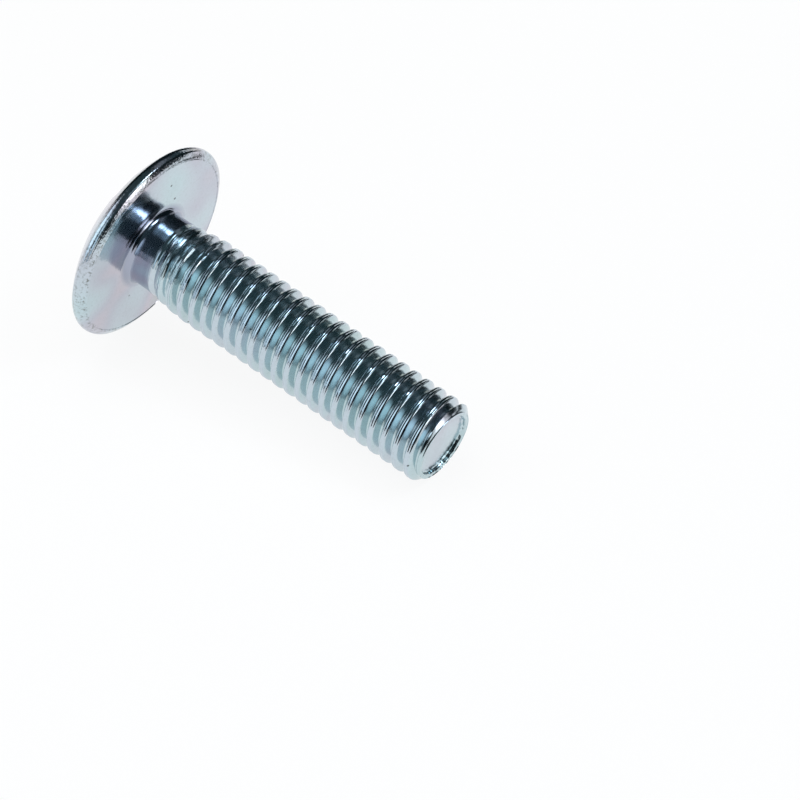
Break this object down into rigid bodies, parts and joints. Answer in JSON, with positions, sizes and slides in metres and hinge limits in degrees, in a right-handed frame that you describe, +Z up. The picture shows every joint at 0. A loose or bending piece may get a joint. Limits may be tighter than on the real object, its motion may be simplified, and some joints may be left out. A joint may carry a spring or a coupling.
{
  "type": "roofing bolt",
  "caption": "Mushroom-head slotted roofing bolt of bright zinc-plated steel, with a short plain neck and a metric thread down to its tip.",
  "frame": {"origin": "on the surface that the bolt lies on, at the middle of its box", "axes": "+X towards the tip, along the bolt as seen from above; +Z up; the bolt's own axis drops towards the tip, because it lies on the rim of its head and on its last thread crest"},
  "size_m": [0.028, 0.0142, 0.0141],
  "materials": {
    "zinc_plated_steel": "bright zinc plate over cold-headed and thread-rolled steel: cool silver, with faint pink, green and blue iridescence and a few small pits"
  },
  "bodies": {
    "root": {"bolt": "zinc_plated_steel"}
  },
  "joints": []
}
